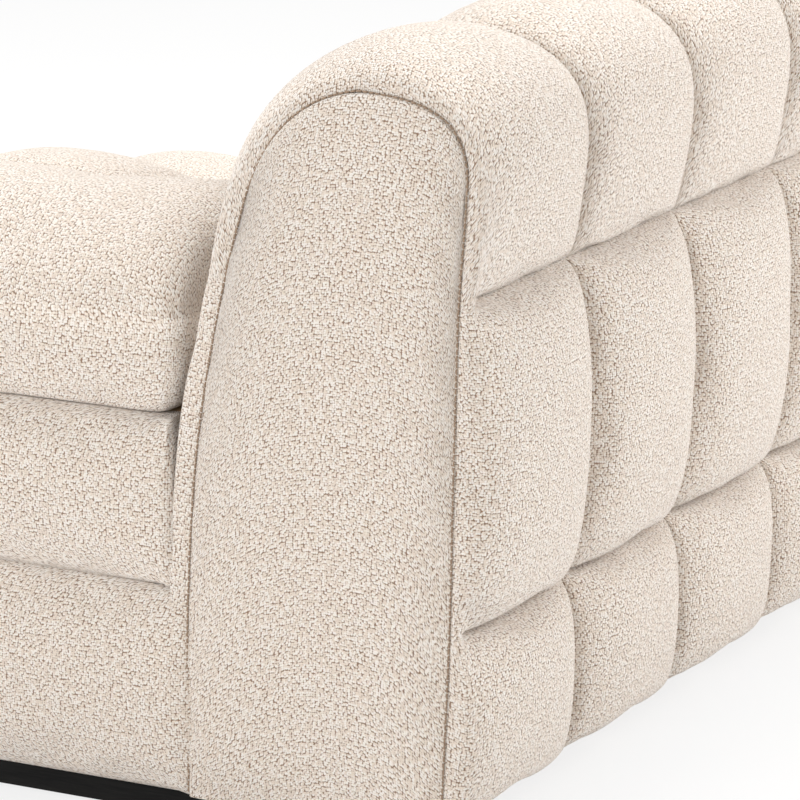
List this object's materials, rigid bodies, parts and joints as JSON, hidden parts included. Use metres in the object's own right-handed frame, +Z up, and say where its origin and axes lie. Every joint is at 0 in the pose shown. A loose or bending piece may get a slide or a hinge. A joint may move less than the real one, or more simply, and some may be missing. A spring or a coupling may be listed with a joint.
{
  "type": "modular sofa end module",
  "caption": "Upholstered sofa end module: tall tufted back with arched end panels, low wide padded arm, loose tufted seat cushion, recessed plinth, open end with swing-out links.",
  "frame": {"origin": "centre of the module's footprint, on the floor", "axes": "+Z up, front of the seat towards -Y, rear of the back towards +Y, arm at +X, joining end at -X"},
  "size_m": [1.14, 1.0161, 0.7303],
  "materials": {
    "upholstery": "cream looped weave",
    "plinth": "black satin paint",
    "glide": "moulded",
    "lining": "black non-woven sheet",
    "felt": "needled felt",
    "webbing": "woven elastic",
    "foam": "open cell foam",
    "spring_steel": "drawn wire",
    "plated_steel": "zinc plated",
    "plywood": "raw birch ply",
    "timber": "planed beech"
  },
  "bodies": {
    "frame": {"arm_board_front": "plywood", "arm_board_inner": "plywood", "arm_board_outer": "plywood", "arm_board_rear": "plywood", "arm_cushion": "upholstery", "arm_foam_core": "foam", "arm_front_pad": "upholstery", "arm_inner_pad": "upholstery", "arm_outer_pad": "upholstery", "arm_top_board": "plywood", "back_bolts": "plated_steel", "back_bottom_board": "plywood", "back_end_panel_left": "upholstery", "back_end_panel_right": "upholstery", "back_former_centre": "plywood", "back_former_left": "plywood", "back_former_right": "plywood", "back_front_row": "upholstery", "back_rail_front_high": "timber", "back_rail_front_low": "timber", "back_rail_rear_high": "timber", "back_rail_rear_low": "timber", "back_rail_top": "timber", "back_rear_low_row": "upholstery", "back_rear_middle_row": "upholstery", "back_top_roll": "upholstery", "back_webbing": "webbing", "base_bearer_left": "timber", "base_corner_blocks": "timber", "base_pad_front": "upholstery", "base_pad_left": "upholstery", "base_pad_right": "upholstery", "base_rail_arm": "timber", "base_rail_front": "timber", "base_rail_left": "timber", "base_rail_rear": "timber", "base_rail_right": "timber", "deck_pad": "felt", "dust_cover": "lining", "floor_glides": "glide", "link_bolts": "plated_steel", "plinth_front": "plinth", "plinth_left": "plinth", "plinth_rear": "plinth", "plinth_right": "plinth", "seat_springs": "spring_steel", "spring_clips": "spring_steel"},
    "seat_cushion": {"seat_cushion": "upholstery", "seat_foam_core": "foam"},
    "front_link": {"link_plate_front": "plated_steel"},
    "rear_link": {"link_plate_rear": "plated_steel"}
  },
  "joints": [
    {"name": "seat_cushion_lift", "type": "slide", "parent": "frame", "child": "seat_cushion", "axis": [0, 0, 1], "range_m": [0, 0.35]},
    {"name": "front_link_swing", "type": "hinge", "parent": "frame", "child": "front_link", "pos_m": [-0.5225, -0.35257, 0.0332], "axis": [0, 0, 1], "range_deg": [0, 90]},
    {"name": "rear_link_swing", "type": "hinge", "parent": "frame", "child": "rear_link", "pos_m": [-0.5225, 0.05643, 0.0332], "axis": [0, 0, -1], "range_deg": [0, 90]}
  ]
}
